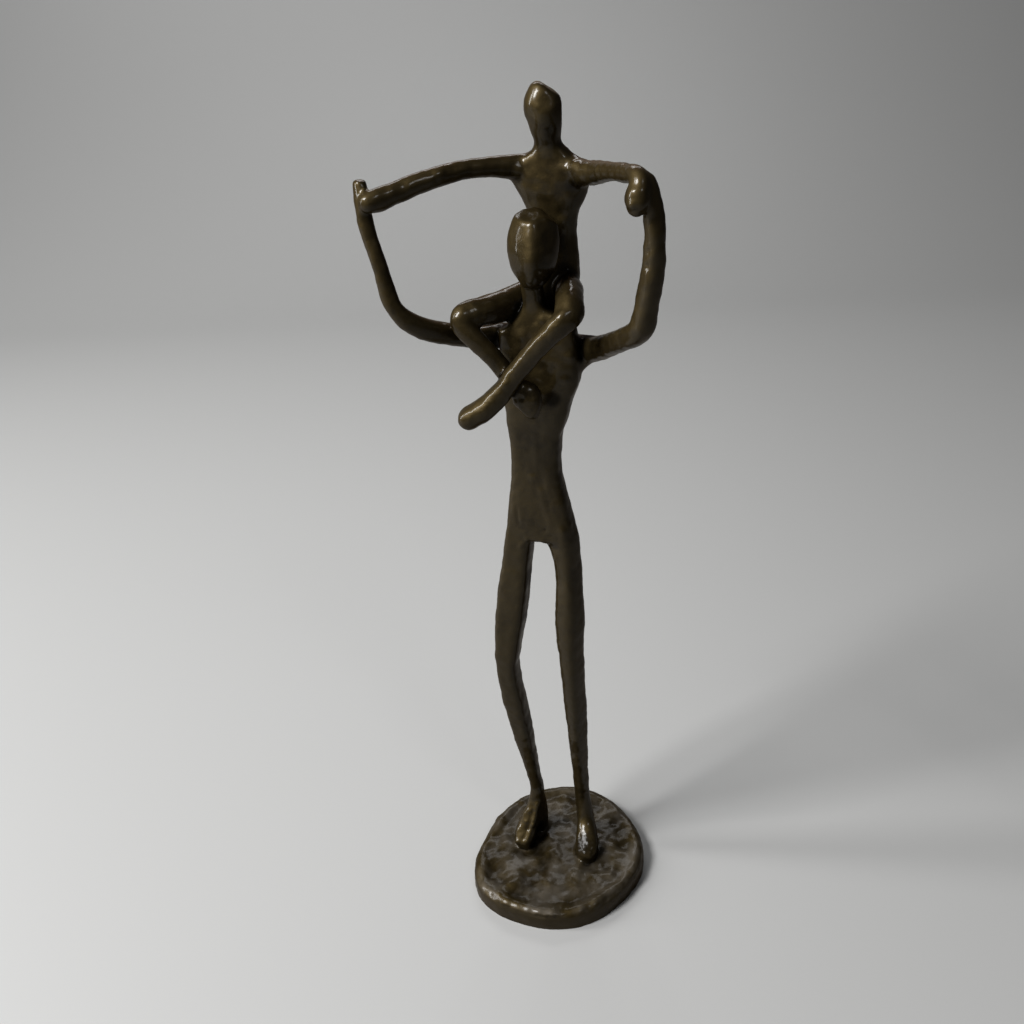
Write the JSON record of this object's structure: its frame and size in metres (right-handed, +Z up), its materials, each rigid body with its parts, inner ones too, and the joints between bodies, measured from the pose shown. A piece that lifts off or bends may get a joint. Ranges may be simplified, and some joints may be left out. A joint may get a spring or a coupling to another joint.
{
  "type": "tabletop cast iron statue",
  "caption": "Tall, thin, faceless figure on a round lumpy base, carrying a child on its shoulders with their hands joined at both sides.",
  "frame": {"origin": "centre of the base's flat underside, at the level the statue stands on", "axes": "+Z up along the figures, both figures face -Y, +X towards the carrier's own left hand"},
  "size_m": [0.0885, 0.0693, 0.2832],
  "materials": {
    "iron": "dark brown-black patina with a soft gloss"
  },
  "bodies": {
    "root": {"figure_group": "iron"}
  },
  "joints": []
}
